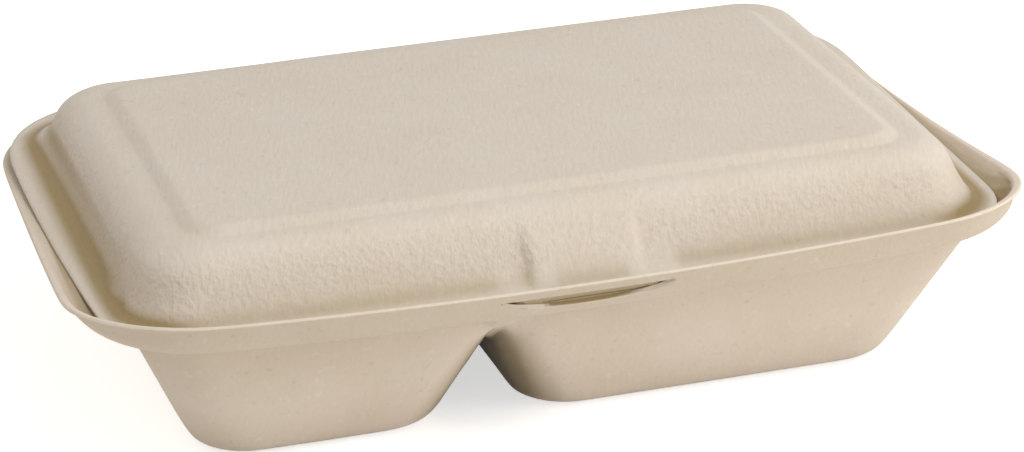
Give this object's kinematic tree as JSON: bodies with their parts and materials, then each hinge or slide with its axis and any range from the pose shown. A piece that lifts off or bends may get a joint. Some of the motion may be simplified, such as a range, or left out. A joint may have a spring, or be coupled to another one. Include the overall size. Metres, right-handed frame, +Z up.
{
  "type": "hinged food container",
  "caption": "Moulded bagasse food container with a domed hinged lid, a locking tab, and two food pockets split by a low divider.",
  "frame": {"origin": "middle of the container's footprint, on the table under the pockets", "axes": "+X along the length to the larger pocket, +Y from the front lock to the back fold, +Z up"},
  "size_m": [0.2536, 0.1737, 0.0625],
  "materials": {
    "tray_pulp": "matte unbleached pulp",
    "lid_pulp": "matte unbleached pulp"
  },
  "bodies": {
    "tray": {"base_tray": "tray_pulp"},
    "lid": {"lid": "lid_pulp"}
  },
  "joints": [
    {"name": "lid_fold", "type": "hinge", "parent": "tray", "child": "lid", "pos_m": [0, 0.08715, 0.0447], "axis": [-1, 0, 0], "range_deg": [0, 180]}
  ]
}
